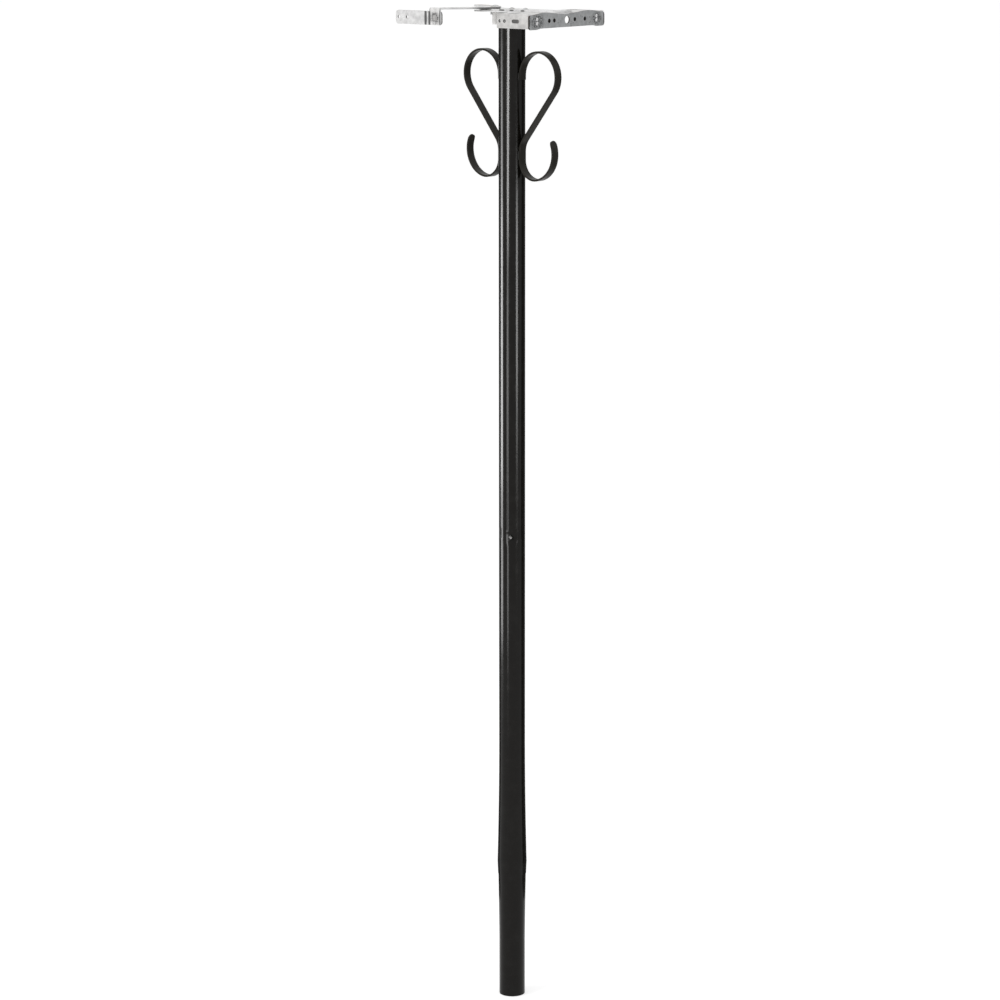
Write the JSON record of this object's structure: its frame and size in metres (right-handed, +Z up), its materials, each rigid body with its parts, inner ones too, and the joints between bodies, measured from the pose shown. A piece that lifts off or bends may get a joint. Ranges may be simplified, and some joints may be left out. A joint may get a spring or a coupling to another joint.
{
  "type": "garden feeder pole",
  "caption": "Black round drive-in garden pole with a joint, two welded flat-bar scroll hooks and an adjustable perforated bracket on top for a bird feeder.",
  "frame": {"origin": "centre of the stake's lower end, on the pole's axis", "axes": "+Z up the pole, +X from the pole's axis towards the bracket's wide perforated end, +Y away from the side rail"},
  "size_m": [0.2581, 0.1772, 1.5305],
  "materials": {
    "black_paint": "gloss powder-coated black",
    "screw_steel": "black painted screw with a worn bright middle",
    "zinc": "zinc-plated pressed sheet",
    "bolt_zinc": "bright zinc-plated fasteners",
    "rivet_aluminium": "dull aluminium rivets"
  },
  "bodies": {
    "pole": {"upper_pole": "black_paint", "lower_pole": "black_paint", "drive_stake": "black_paint", "joint_screw": "screw_steel", "left_scroll": "black_paint", "right_scroll": "black_paint", "pole_saddle": "zinc", "saddle_bolt": "bolt_zinc", "saddle_nut": "bolt_zinc", "mounting_plate": "zinc", "end_strip": "zinc", "strip_nuts": "bolt_zinc", "corner_rivets": "rivet_aluminium", "centre_strap": "zinc", "strap_rivets": "rivet_aluminium", "strap_screws": "bolt_zinc", "strap_nuts": "bolt_zinc", "pivot_bolts": "bolt_zinc", "pivot_nuts": "bolt_zinc"},
    "front_arm": {"front_arm": "zinc", "rail_bolt": "bolt_zinc", "rail_nut": "bolt_zinc"},
    "rear_arm": {"rear_arm": "zinc"},
    "side_rail": {"side_rail": "zinc"}
  },
  "joints": [
    {"name": "front_arm_swivel", "type": "hinge", "parent": "pole", "child": "front_arm", "pos_m": [-0.026, -0.0095, 1.5285], "axis": [0, 0, 1], "range_deg": [-30, 25]},
    {"name": "rear_arm_swivel", "type": "hinge", "parent": "pole", "child": "rear_arm", "pos_m": [-0.041, 0.01, 1.5285], "axis": [0, 0, 1], "range_deg": [-60, 30]},
    {"name": "side_rail_slide", "type": "slide", "parent": "front_arm", "child": "side_rail", "axis": [1, 0, 0], "range_m": [-0.006, 0.004]}
  ]
}
